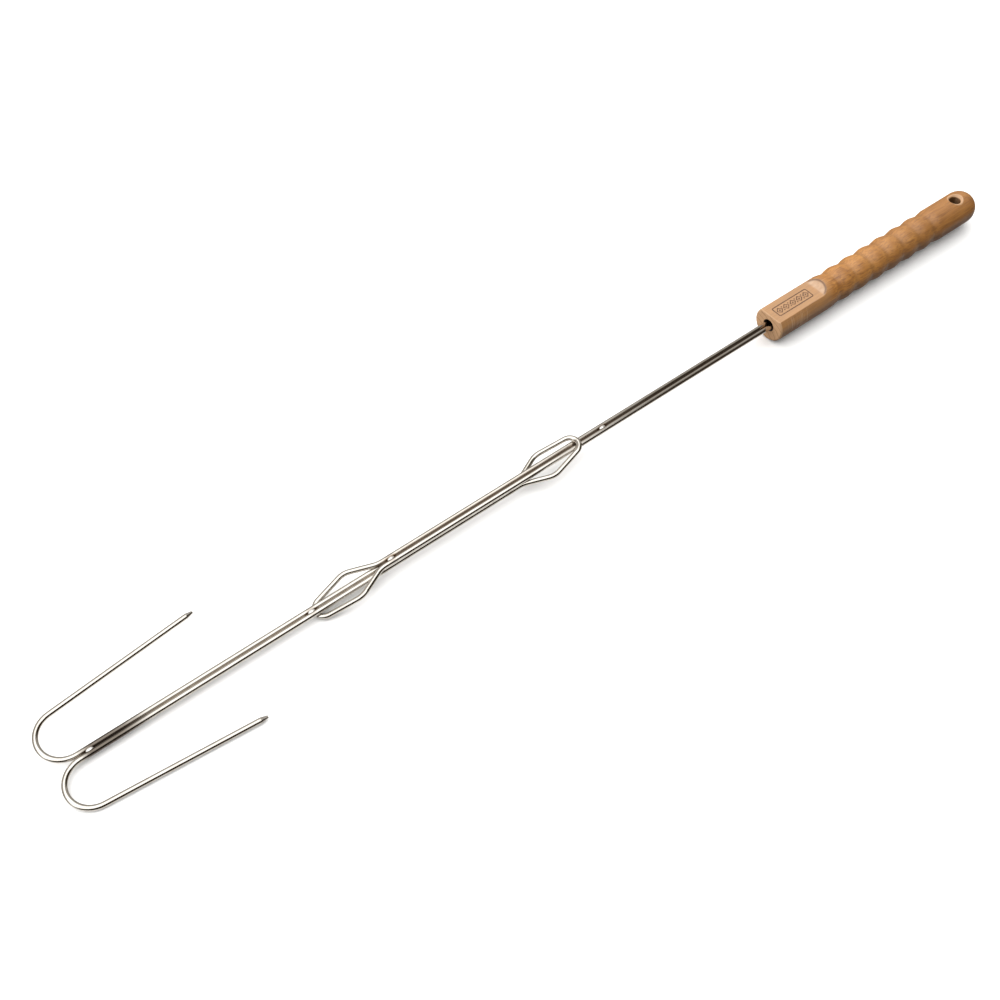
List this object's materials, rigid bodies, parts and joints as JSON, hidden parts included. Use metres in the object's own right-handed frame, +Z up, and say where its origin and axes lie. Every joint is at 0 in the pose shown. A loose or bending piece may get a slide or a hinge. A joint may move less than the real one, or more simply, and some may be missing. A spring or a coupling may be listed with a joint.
{
  "type": "telescoping roasting fork",
  "caption": "Telescoping campfire roasting fork: a turned wooden handle on a bent wire rod, with a back-pointing pronged wire fork that slides through diamond-shaped loops.",
  "frame": {"origin": "centre of the part's footprint, on the surface it lies on", "axes": "+X from the handle towards the fork, +Z up out of the surface that the fork lies on and within half a degree of square to the handle's flat, +Y towards the lower prong"},
  "size_m": [0.851, 0.0958, 0.0299],
  "materials": {
    "beech": "satin, oiled",
    "steel_wire": "polished stainless wire",
    "weld_metal": "bright weld bead",
    "adhesive": "set adhesive, matt"
  },
  "bodies": {
    "handle_half": {"handle": "beech", "handle_rod": "steel_wire", "glue_plug": "adhesive", "rod_weld_front": "weld_metal", "rod_weld_middle": "weld_metal", "rod_weld_rear": "weld_metal"},
    "fork_half": {"fork_wire": "steel_wire", "fork_weld_front": "weld_metal", "fork_weld_middle": "weld_metal", "fork_weld_rear": "weld_metal"}
  },
  "joints": [
    {"name": "fork_slide", "type": "slide", "parent": "handle_half", "child": "fork_half", "axis": [1, 0, -0.0086], "range_m": [-0.175, 0.121]}
  ]
}
